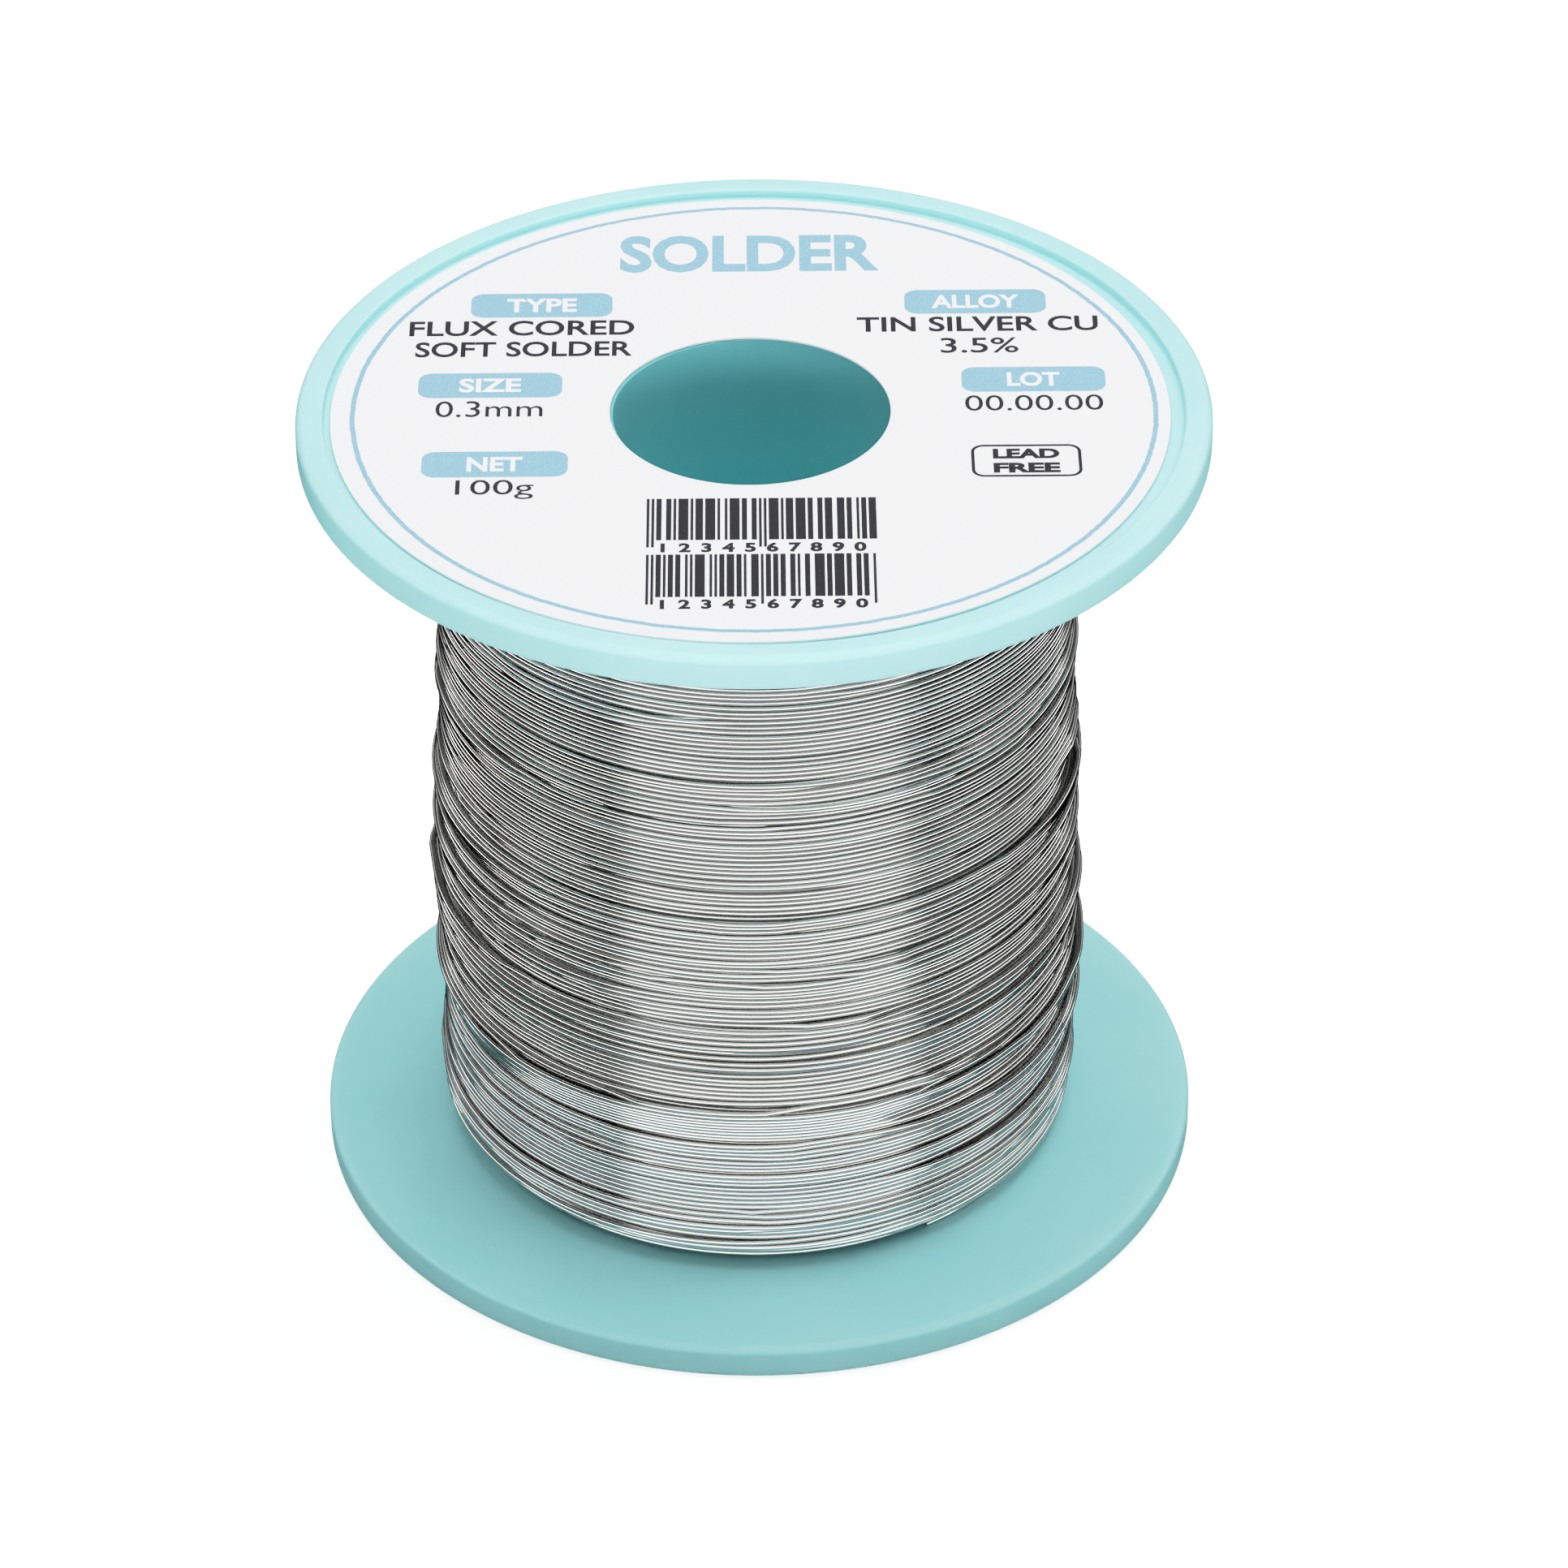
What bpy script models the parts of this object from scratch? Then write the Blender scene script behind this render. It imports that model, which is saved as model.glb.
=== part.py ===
"""Solder wire spool: a moulded reel with two equal flanges, full of fine flux-cored wire.

Units are metres. The reel stands on its lower flange, its axis is +Z and the origin is the
centre of the circle that it rests on. -Y is the side that the label's text faces.
"""

import math

import bmesh
import bpy

MM = 0.001

# Driving dimensions
FLANGE_RADIUS = 25.0 * MM
SPOOL_HEIGHT = 48.0 * MM
RIM_THICKNESS = 2.1 * MM
RECESS_RADIUS = 23.5 * MM
RECESS_DEPTH = 0.5 * MM
BORE_RADIUS = 7.7 * MM
BARREL_RADIUS = 13.5 * MM
WALL = 1.2 * MM
WIRE_DIAMETER = 0.3 * MM
PACK_RADIUS = 18.2 * MM
LABEL_RADIUS = 22.9 * MM

# Details
GAP = 0.3 * MM
RIM_OUTER_ROUND = 0.45 * MM
RIM_INNER_ROUND = 0.5 * MM
RECESS_ROUND = 0.15 * MM
BORE_CHAMFER = 0.15 * MM
SOCKET_DEPTH = 0.8 * MM
LABEL_THICKNESS = 0.12 * MM
LABEL_GLUE = 0.05 * MM
LABEL_OFFSET = 0.2 * MM
OUTER_LAYERS_DEPTH = 1.1 * MM
PACK_WAVE = 0.12 * MM
PACK_TAPER = 0.35 * MM
PACK_TAPER_LENGTH = 2.5 * MM
RIB_COUNT = 6
RIB_WIDTH = 1.0 * MM
ANCHOR_HOLE_RADIUS = 0.6 * MM
ANCHOR_HEIGHT = 5.0 * MM
TAIL_BEND = 1.0 * MM
TAIL_LENGTH = 8.0 * MM
FLUX_BORE_RADIUS = 0.08 * MM
FLUX_RADIUS = 0.06 * MM
FLUX_LENGTH = 1.6 * MM
FLUX_BORE_DEPTH = 1.7 * MM
LAST_TURN_HEIGHT = 24.9 * MM
LAST_TURN_RISE = 1.6 * MM
LAST_TURN_START = math.radians(-12.0)
LAST_TURN_SWEEP = math.radians(428.0)
FREE_END_SHARE = 0.84
FREE_END_LIFT = 0.8 * MM

ROUND_STEPS = 72
ARC_STEPS = 3
PACK_STEPS = 14
LAST_TURN_STEPS = 60
CUTTER_STEPS = 24
WELD = 0.001 * MM
SHARP_ANGLE = math.radians(35.0)

INNER_FACE = RIM_THICKNESS
SOCKET_FLOOR = RIM_THICKNESS - SOCKET_DEPTH
TUBE_OUTER = BORE_RADIUS + WALL
PACK_BOTTOM = INNER_FACE + GAP
PACK_TOP = SPOOL_HEIGHT - INNER_FACE - GAP


def clear_scene():
    for obj in list(bpy.data.objects):
        bpy.data.objects.remove(obj, do_unlink=True)


def new_collection(name):
    collection = bpy.data.collections.new(name)
    bpy.context.scene.collection.children.link(collection)
    return collection


def new_material(name, colour, roughness, metallic=0.0):
    material = bpy.data.materials.new(name)
    material.use_nodes = True
    shader = material.node_tree.nodes["Principled BSDF"]
    shader.inputs["Base Color"].default_value = (*colour, 1.0)
    shader.inputs["Roughness"].default_value = roughness
    shader.inputs["Metallic"].default_value = metallic
    return material


def arc(centre, radius, start_deg, end_deg, steps=ARC_STEPS):
    """Points of an arc in the (radius, height) plane, both ends included."""
    points = []
    for step in range(steps + 1):
        angle = math.radians(start_deg + (end_deg - start_deg) * step / steps)
        points.append((centre[0] + radius * math.cos(angle), centre[1] + radius * math.sin(angle)))
    return points


def freeze(obj):
    """Turn an object's curve or modifiers into its own welded, smooth-shaded mesh."""
    bpy.context.view_layer.update()
    evaluated = obj.evaluated_get(bpy.context.evaluated_depsgraph_get())
    mesh = bpy.data.meshes.new_from_object(evaluated)
    tidy = bmesh.new()
    tidy.from_mesh(mesh)
    bmesh.ops.remove_doubles(tidy, verts=tidy.verts, dist=WELD)
    tidy.to_mesh(mesh)
    tidy.free()
    mesh.shade_smooth()
    mesh.set_sharp_from_angle(angle=SHARP_ANGLE)
    frozen = bpy.data.objects.new(obj.name + "_mesh", mesh)
    frozen.matrix_world = obj.matrix_world
    for collection in obj.users_collection:
        collection.objects.link(frozen)
    name = obj.name
    bpy.data.objects.remove(obj, do_unlink=True)
    frozen.name = name
    return frozen


def turned(name, profile, collection, steps=ROUND_STEPS):
    """A solid of revolution about Z from a closed (radius, height) section.

    The section runs clockwise, so that its outer side runs from top to bottom.
    """
    mesh = bpy.data.meshes.new(name)
    count = len(profile)
    edges = [(index, (index + 1) % count) for index in range(count)]
    mesh.from_pydata([(radius, 0.0, height) for radius, height in profile], edges, [])
    obj = bpy.data.objects.new(name, mesh)
    collection.objects.link(obj)
    screw = obj.modifiers.new("turn", "SCREW")
    screw.axis = "Z"
    screw.steps = steps
    screw.render_steps = steps
    screw.use_merge_vertices = True
    screw.merge_threshold = WELD
    return obj


def ring_section(inner, outer, bottom, top):
    return [(inner, top), (outer, top), (outer, bottom), (inner, bottom)]


def wire_curve(name, points, radius, collection):
    """A round wire with filled ends along a list of points."""
    curve = bpy.data.curves.new(name, "CURVE")
    curve.dimensions = "3D"
    curve.bevel_depth = radius
    curve.bevel_resolution = 2
    curve.use_fill_caps = True
    spline = curve.splines.new("POLY")
    spline.points.add(len(points) - 1)
    for point, place in zip(spline.points, points):
        point.co = (*place, 1.0)
    obj = bpy.data.objects.new(name, curve)
    collection.objects.link(obj)
    return freeze(obj)


def polar(radius, angle, height):
    return (radius * math.cos(angle), radius * math.sin(angle), height)


def boolean(obj, tool, operation):
    modifier = obj.modifiers.new(operation.lower(), "BOOLEAN")
    modifier.operation = operation
    modifier.solver = "EXACT"
    modifier.object = tool


def hide_tool(tool):
    tool.hide_render = True
    tool.display_type = "WIRE"


def cylinder_tool(name, radius, start, end, collection):
    """A closed cylinder between two points, for cutting a hole."""
    length = math.dist(start, end)
    mesh = bpy.data.meshes.new(name)
    shape = bmesh.new()
    bmesh.ops.create_cone(shape, cap_ends=True, segments=CUTTER_STEPS, radius1=radius,
                          radius2=radius, depth=length)
    shape.to_mesh(mesh)
    shape.free()
    tool = bpy.data.objects.new(name, mesh)
    collection.objects.link(tool)
    tool.location = [(a + b) / 2 for a, b in zip(start, end)]
    along = [b - a for a, b in zip(start, end)]
    tilt = math.acos(along[2] / length)
    tool.rotation_euler = (0.0, tilt, math.atan2(along[1], along[0]))
    return tool


def flange_section():
    """Half section of a flange whose outer face is up at height 0."""
    hole = TUBE_OUTER + GAP
    recess_edge = RECESS_RADIUS + RECESS_ROUND
    outer_edge = FLANGE_RADIUS - RIM_OUTER_ROUND
    inner_edge = FLANGE_RADIUS - RIM_INNER_ROUND
    points = [(hole, -RECESS_DEPTH), (RECESS_RADIUS, -RECESS_DEPTH)]
    points += arc((recess_edge, -RECESS_ROUND), RECESS_ROUND, 180, 90)
    points += arc((outer_edge, -RIM_OUTER_ROUND), RIM_OUTER_ROUND, 90, 0)
    points += arc((inner_edge, RIM_INNER_ROUND - RIM_THICKNESS), RIM_INNER_ROUND, 0, -90)
    socket_outer = BARREL_RADIUS + GAP
    socket_inner = BARREL_RADIUS - WALL - GAP
    points += [(socket_outer, -RIM_THICKNESS), (socket_outer, -SOCKET_FLOOR)]
    points += [(socket_inner, -SOCKET_FLOOR), (socket_inner, -RIM_THICKNESS)]
    points += [(hole, -RIM_THICKNESS)]
    return points


def build_flanges(collection, plastic):
    """The two flanges are one moulding, used twice; the lower one is turned over."""
    upper = freeze(turned("upper_flange", flange_section(), collection))
    upper.data.materials.append(plastic)
    upper.location = (0.0, 0.0, SPOOL_HEIGHT)
    lower = bpy.data.objects.new("lower_flange", upper.data)
    collection.objects.link(lower)
    lower.rotation_euler = (math.pi, 0.0, 0.0)


def build_winding_barrel(collection, tools, plastic):
    """The drum that the wire is wound on, with ribs that centre the spindle tube."""
    bottom = SOCKET_FLOOR + GAP
    top = SPOOL_HEIGHT - bottom
    section = ring_section(BARREL_RADIUS - WALL, BARREL_RADIUS, bottom, top)
    barrel = turned("winding_barrel", section, collection)
    rib_inner = TUBE_OUTER + GAP
    rib_outer = BARREL_RADIUS - WALL / 2
    rib_bottom = INNER_FACE + GAP
    rib_height = SPOOL_HEIGHT - 2 * rib_bottom
    for index in range(RIB_COUNT):
        angle = 2 * math.pi * (index + 0.5) / RIB_COUNT
        mesh = bpy.data.meshes.new("rib")
        shape = bmesh.new()
        bmesh.ops.create_cube(shape, size=1.0)
        bmesh.ops.scale(shape, vec=(rib_outer - rib_inner, RIB_WIDTH, rib_height), verts=shape.verts)
        shape.to_mesh(mesh)
        shape.free()
        rib = bpy.data.objects.new(f"rib_{index}", mesh)
        tools.objects.link(rib)
        rib.location = polar((rib_inner + rib_outer) / 2, angle, SPOOL_HEIGHT / 2)
        rib.rotation_euler = (0.0, 0.0, angle)
        hide_tool(rib)
        boolean(barrel, rib, "UNION")
    hole_start = polar(BARREL_RADIUS - 2 * WALL, 0.0, ANCHOR_HEIGHT)
    hole_end = polar(BARREL_RADIUS + WALL, 0.0, ANCHOR_HEIGHT)
    hole = cylinder_tool("anchor_hole", ANCHOR_HOLE_RADIUS, hole_start, hole_end, tools)
    hide_tool(hole)
    boolean(barrel, hole, "DIFFERENCE")
    barrel = freeze(barrel)
    barrel.data.materials.append(plastic)


def build_spindle_tube(collection, plastic):
    """The inner tube, which turns on a dispenser's spindle."""
    bottom = RECESS_DEPTH
    top = SPOOL_HEIGHT - RECESS_DEPTH
    lip = BORE_RADIUS + BORE_CHAMFER
    section = [(lip, top), (TUBE_OUTER, top), (TUBE_OUTER, bottom), (lip, bottom)]
    section += [(BORE_RADIUS, bottom + BORE_CHAMFER), (BORE_RADIUS, top - BORE_CHAMFER)]
    tube = freeze(turned("spindle_tube", section, collection))
    tube.data.materials.append(plastic)


def build_labels(collection, paper):
    """Paper discs stuck into the recesses, a little off centre as real labels are."""
    section = ring_section(BORE_RADIUS, LABEL_RADIUS, 0.0, LABEL_THICKNESS)
    upper = freeze(turned("upper_label", section, collection))
    upper.data.materials.append(paper)
    upper.location = (-LABEL_OFFSET, 0.0, SPOOL_HEIGHT - RECESS_DEPTH + LABEL_GLUE)
    lower = bpy.data.objects.new("lower_label", upper.data)
    collection.objects.link(lower)
    lower.rotation_euler = (math.pi, 0.0, 0.0)
    lower.location = (0.0, 0.0, RECESS_DEPTH - LABEL_GLUE)


def pack_radius(height):
    """The outer radius of the wound wire: slow waves, and a taper at each flange."""
    from_end = min(height - PACK_BOTTOM, PACK_TOP - height)
    taper = PACK_TAPER * max(0.0, 1.0 - from_end / PACK_TAPER_LENGTH) ** 2
    share = (height - PACK_BOTTOM) / (PACK_TOP - PACK_BOTTOM)
    wave = 0.6 * math.sin(2 * math.pi * 3.2 * share) + 0.4 * math.sin(2 * math.pi * 5.1 * share + 1.0)
    return PACK_RADIUS + PACK_WAVE * wave - taper


def build_wire_layers(collection, solder):
    """The wound wire as two solid rings: the buried layers, and the layers in view."""
    split = PACK_RADIUS - OUTER_LAYERS_DEPTH
    section = ring_section(BARREL_RADIUS + GAP, split - GAP, PACK_BOTTOM, PACK_TOP)
    inner = freeze(turned("wire_inner_layers", section, collection))
    inner.data.materials.append(solder)
    section = []
    for step in range(PACK_STEPS + 1):
        height = PACK_TOP + (PACK_BOTTOM - PACK_TOP) * step / PACK_STEPS
        section.append((pack_radius(height), height))
    section += [(split, PACK_BOTTOM), (split, PACK_TOP)]
    outer = freeze(turned("wire_outer_layers", section, collection))
    outer.data.materials.append(solder)


def build_wire_start(collection, solder):
    """The first end of the wire, poked through the barrel wall and bent up behind it."""
    inside = BARREL_RADIUS - WALL - TAIL_BEND
    points = [(BARREL_RADIUS, ANCHOR_HEIGHT)]
    points += arc((inside + TAIL_BEND, ANCHOR_HEIGHT + TAIL_BEND), TAIL_BEND, 270, 180)
    points += [(inside, ANCHOR_HEIGHT + TAIL_LENGTH)]
    places = [(radius, 0.0, height) for radius, height in points]
    tail = wire_curve("wire_start_tail", places, WIRE_DIAMETER / 2, collection)
    tail.data.materials.append(solder)


def last_turn_point(share):
    """A point of the last turn, whose end bows outwards and springs away at its tip."""
    angle = LAST_TURN_START + LAST_TURN_SWEEP * share
    free = max(0.0, share - FREE_END_SHARE) / (1.0 - FREE_END_SHARE)
    radius = PACK_RADIUS + PACK_WAVE + GAP + WIRE_DIAMETER / 2 + FREE_END_LIFT * free ** 2
    return polar(radius, angle, LAST_TURN_HEIGHT + LAST_TURN_RISE * share)


def build_last_turn(collection, tools, solder, flux):
    """The last turn of the wire and its free end, cut off square, with the flux core in it."""
    points = [last_turn_point(step / LAST_TURN_STEPS) for step in range(LAST_TURN_STEPS + 1)]
    run = [b - a for a, b in zip(points[-2], points[-1])]
    length = math.hypot(*run)
    along = [value / length for value in run]
    tip = [value + direction * 2 * FLUX_LENGTH for value, direction in zip(points[-1], along)]
    wire = wire_curve("wire_last_turn", points + [tip], WIRE_DIAMETER / 2, collection)
    bore_start = [value - direction * FLUX_BORE_DEPTH for value, direction in zip(tip, along)]
    bore_end = [value + direction * FLUX_BORE_DEPTH for value, direction in zip(tip, along)]
    bore = cylinder_tool("flux_bore", FLUX_BORE_RADIUS, bore_start, bore_end, tools)
    hide_tool(bore)
    boolean(wire, bore, "DIFFERENCE")
    wire = freeze(wire)
    wire.data.materials.append(solder)
    core_start = [value - direction * FLUX_LENGTH for value, direction in zip(tip, along)]
    core = wire_curve("flux_core", [core_start, tip], FLUX_RADIUS, collection)
    core.data.materials.append(flux)


def build():
    clear_scene()
    parts = new_collection("solder_wire_spool")
    tools = new_collection("cutters")
    plastic = new_material("mint_plastic", (0.45, 0.80, 0.78), 0.38)
    paper = new_material("label_paper", (0.90, 0.91, 0.93), 0.55)
    solder = new_material("solder", (0.72, 0.71, 0.69), 0.22, 1.0)
    flux = new_material("flux_rosin", (0.62, 0.38, 0.10), 0.25)
    build_flanges(parts, plastic)
    build_winding_barrel(parts, tools, plastic)
    build_spindle_tube(parts, plastic)
    build_labels(parts, paper)
    build_wire_layers(parts, solder)
    build_wire_start(parts, solder)
    build_last_turn(parts, tools, solder, flux)


build()
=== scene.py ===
"""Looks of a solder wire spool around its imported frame: the wire is laid down turn by turn as round
strands, the reel is fine moulded plastic, and the labels are printed paper discs."""

import math

import bmesh
import bpy
import numpy as np
from mathutils import Matrix, Vector


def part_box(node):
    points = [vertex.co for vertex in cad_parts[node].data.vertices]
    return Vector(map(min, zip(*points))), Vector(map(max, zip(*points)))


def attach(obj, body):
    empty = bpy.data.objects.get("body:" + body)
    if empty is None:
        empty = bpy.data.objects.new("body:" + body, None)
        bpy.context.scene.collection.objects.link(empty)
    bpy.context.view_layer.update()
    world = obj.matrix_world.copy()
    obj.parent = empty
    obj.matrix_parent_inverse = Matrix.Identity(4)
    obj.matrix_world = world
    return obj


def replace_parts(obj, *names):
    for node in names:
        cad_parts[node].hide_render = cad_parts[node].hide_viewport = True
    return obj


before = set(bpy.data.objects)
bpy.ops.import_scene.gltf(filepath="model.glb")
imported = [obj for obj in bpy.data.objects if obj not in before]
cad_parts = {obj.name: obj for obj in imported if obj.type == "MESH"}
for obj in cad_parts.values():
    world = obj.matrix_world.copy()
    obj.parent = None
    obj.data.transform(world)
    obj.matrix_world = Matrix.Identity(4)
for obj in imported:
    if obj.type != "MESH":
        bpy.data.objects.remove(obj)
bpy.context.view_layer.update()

MM = 0.001
SEED = 11
ROOT = "root"

# Places read from the frame, in metres
upper_low, upper_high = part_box("upper_flange")
lower_low, lower_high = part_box("lower_flange")
label_low, label_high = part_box("upper_label")
under_low, under_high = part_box("lower_label")
tube_low, tube_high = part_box("spindle_tube")
_, barrel_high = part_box("winding_barrel")
_, pack_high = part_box("wire_outer_layers")
FLANGE_RADIUS = upper_high.x
HEIGHT = upper_high.z
RIM = upper_high.z - upper_low.z
RECESS = upper_high.z - tube_high.z
BORE_WALL = 1.2 * MM
BORE = tube_high.x - BORE_WALL
BARREL = barrel_high.x
PACK = (pack_high.x + pack_high.y) / 2
WIRE = 0.3 * MM


# ---------------------------------------------------------------- small mesh and node helpers

def mesh_piece(name, verts, faces, material, smooth_angle=None):
    """A mesh object that rides on the reel, from vertex and face arrays in metres."""
    mesh = bpy.data.meshes.new(name)
    mesh.from_pydata(verts, [], faces)
    mesh.update()
    return finish_piece(name, mesh, material, smooth_angle)


def finish_piece(name, mesh, material, smooth_angle=None):
    """Gives a mesh its material and shading, and makes it a piece that rides on the reel."""
    mesh.materials.clear()
    mesh.materials.append(material)
    if smooth_angle is not None:
        mesh.shade_smooth()
        mesh.set_sharp_from_angle(angle=math.radians(smooth_angle))
    piece = bpy.data.objects.new(name, mesh)
    bpy.context.scene.collection.objects.link(piece)
    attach(piece, ROOT)
    return piece


def arc(centre, radius, start, end, steps):
    """Points of an arc in the (radius, height) plane, angles in degrees, both ends included."""
    angles = np.radians(np.linspace(start, end, steps + 1))
    return [(centre[0] + radius * math.cos(a), centre[1] + radius * math.sin(a)) for a in angles]


def turned(name, section, angles, material, shape=None, smooth_angle=40):
    """A solid of revolution from a closed clockwise section; shape may move its points."""
    section = np.array(section)
    rows, cols = len(angles), len(section)
    r = np.repeat(section[None, :, 0], rows, 0)
    z = np.repeat(section[None, :, 1], rows, 0)
    a = np.repeat(np.array(angles)[:, None], cols, 1)
    if shape is not None:
        r, z = shape(a, r, z)
    verts = np.stack([r * np.cos(a), r * np.sin(a), z], -1).reshape(-1, 3)
    i = np.arange(rows)[:, None]
    j = np.arange(cols)[None, :]
    i2, j2 = (i + 1) % rows, (j + 1) % cols
    quads = np.stack([i * cols + j, i * cols + j2, i2 * cols + j2, i2 * cols + j], -1).reshape(-1, 4)
    return mesh_piece(name, verts.tolist(), quads.tolist(), material, smooth_angle)


class Nodes:
    """A short way to write a material's or world's node tree."""

    def __init__(self, owner):
        owner.use_nodes = True
        self.tree = owner.node_tree
        self.tree.nodes.clear()

    def add(self, kind, settings=None, **inputs):
        """A new node with its settings and inputs; an underscore stands for a space."""
        node = self.tree.nodes.new(kind)
        for key, value in (settings or {}).items():
            setattr(node, key, value)
        for key, value in inputs.items():
            self.put(node, key.replace("_", " "), value)
        return node

    def put(self, node, key, value):
        """Links or sets an input, found by its name or by its number."""
        socket = node.inputs[int(key)] if key.isdigit() else node.inputs[key]
        if isinstance(value, bpy.types.NodeSocket):
            self.tree.links.new(value, socket)
        else:
            socket.default_value = value

    def math(self, operation, *values, clamp=False):
        node = self.tree.nodes.new("ShaderNodeMath")
        node.operation = operation
        node.use_clamp = clamp
        for index, value in enumerate(values):
            self.put(node, str(index), value)
        return node.outputs[0]

    def step(self, value, low, high, out_low=0.0, out_high=1.0):
        """Goes smoothly from out_low to out_high as the value goes from low to high."""
        node = self.tree.nodes.new("ShaderNodeMapRange")
        node.interpolation_type = "SMOOTHSTEP"
        for index, item in enumerate((value, low, high, out_low, out_high)):
            self.put(node, str(index), item)
        return node.outputs[0]

    def blend(self, share, first, second):
        """A plain number between two others."""
        rest = self.math("MULTIPLY", self.math("SUBTRACT", 1.0, share), first)
        return self.math("ADD", rest, self.math("MULTIPLY", share, second))

    def mix(self, factor, first, second, blend="MIX"):
        """A colour mixed from two others."""
        node = self.tree.nodes.new("ShaderNodeMix")
        node.data_type = "RGBA"
        node.blend_type = blend
        self.put(node, "0", factor)
        self.put(node, "6", first)
        self.put(node, "7", second)
        return node.outputs[2]

    def noise(self, vector, scale, detail=3.0, roughness=0.5):
        node = self.add("ShaderNodeTexNoise", Vector=vector, Scale=scale, Detail=detail)
        self.put(node, "Roughness", roughness)
        return node.outputs["Fac"]

    def position(self):
        return self.add("ShaderNodeTexCoord").outputs["Object"]

    def distance(self, x, y):
        """How far a point is from the reel's axis."""
        squares = self.math("ADD", self.math("MULTIPLY", x, x), self.math("MULTIPLY", y, y))
        return self.math("SQRT", squares)

    def cylinder_position(self, along, across):
        """Coordinates that run round the axis: (arc x along, radius x across, height x across)."""
        split = self.add("ShaderNodeSeparateXYZ", Vector=self.position())
        x, y, z = split.outputs
        angle = self.math("ARCTAN2", y, x)
        radius = self.distance(x, y)
        joined = self.add("ShaderNodeCombineXYZ")
        self.put(joined, "X", self.math("MULTIPLY", angle, along))
        self.put(joined, "Y", self.math("MULTIPLY", radius, across))
        self.put(joined, "Z", self.math("MULTIPLY", z, across))
        return joined.outputs[0]

    def bump(self, height, strength, distance):
        node = self.add("ShaderNodeBump", Strength=strength, Distance=distance, Height=height)
        return node.outputs["Normal"]

    def surface(self, shader):
        out = self.add("ShaderNodeOutputMaterial")
        self.tree.links.new(shader, out.inputs["Surface"])


def grey(value):
    return (value, value, value, 1.0)


# ---------------------------------------------------------------- materials

# Depth below the tube's top over which the bore's plastic gets a further painted shade
BORE_TOP_SHADE_DEPTH = 12 * MM


def mint_plastic(name, painted_shade, painted_bore_top_shade=None):
    """Injection-moulded, slightly translucent polystyrene with a fine satin skin.

    The painted shade multiplies all of its colour: white for the flanges, darker for the bore's tube,
    where it stands in for the bore's shade. The bore-top painted shade darkens the top of the bore once
    more, where the lights would make it too pale.
    """
    material = bpy.data.materials.new(name)
    n = Nodes(material)
    place = n.position()
    cloud = n.noise(place, 90.0, 2.0)
    speck = n.noise(place, 2600.0, 2.0)
    grain = n.noise(place, 5200.0, 3.0)
    tint = n.mix(n.step(cloud, 0.3, 0.7), (0.350, 0.750, 0.770, 1), (0.375, 0.780, 0.800, 1))
    tint = n.mix(n.step(speck, 0.62, 0.80, 0.0, 0.25), tint, (0.52, 0.87, 0.88, 1))
    # Painted shade: the plastic's colour is multiplied by a darker tint for the bore's tube
    tint = n.mix(1.0, tint, painted_shade, "MULTIPLY")
    if painted_bore_top_shade is not None:
        # Painted shade: darker towards the top of the bore, where the lights fall strongest
        _, _, z = n.add("ShaderNodeSeparateXYZ", Vector=place).outputs
        entry = n.step(z, tube_high.z - BORE_TOP_SHADE_DEPTH, tube_high.z)
        tint = n.mix(1.0, tint, n.mix(entry, grey(1.0), painted_bore_top_shade), "MULTIPLY")
    rough = n.step(cloud, 0.25, 0.75, 0.36, 0.46)
    shader = n.add("ShaderNodeBsdfPrincipled", IOR=1.55, Roughness=rough)
    n.put(shader, "Base Color", tint)
    n.put(shader, "Subsurface Weight", 0.35)
    n.put(shader, "Subsurface Radius", (0.6, 1.0, 1.0))
    n.put(shader, "Subsurface Scale", 0.0012)
    n.put(shader, "Normal", n.bump(grain, 0.12, 0.00002))
    n.surface(shader.outputs[0])
    return material


def label_paper():
    """Coated white label stock: faint fibres, faint mottle and a few specks."""
    material = bpy.data.materials.new("label_paper")
    n = Nodes(material)
    place = n.position()
    fibre = n.noise(place, 3800.0, 4.0, 0.65)
    mottle = n.noise(place, 160.0, 3.0)
    speck = n.noise(place, 900.0, 1.0)
    tint = n.mix(mottle, (0.875, 0.885, 0.915, 1), (0.90, 0.905, 0.93, 1))
    tint = n.mix(n.step(speck, 0.79, 0.84, 0.0, 0.25), tint, (0.60, 0.62, 0.66, 1))
    shader = n.add("ShaderNodeBsdfPrincipled", IOR=1.45, Roughness=n.step(fibre, 0.3, 0.7, 0.42, 0.56))
    n.put(shader, "Base Color", tint)
    n.put(shader, "Normal", n.bump(fibre, 0.10, 0.00001))
    n.surface(shader.outputs[0])
    return material


def ink(name, deep, pale, pale_share):
    """Thermal-transfer print: small pale gaps where the ribbon missed the paper."""
    material = bpy.data.materials.new(name)
    n = Nodes(material)
    dots = n.noise(n.position(), 9000.0, 2.0)
    tint = n.mix(n.step(dots, 0.45, 0.75, 0.0, pale_share), deep, pale)
    shader = n.add("ShaderNodeBsdfPrincipled", IOR=1.45, Roughness=n.step(dots, 0.3, 0.7, 0.38, 0.5))
    n.put(shader, "Base Color", tint)
    n.surface(shader.outputs[0])
    return material


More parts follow.
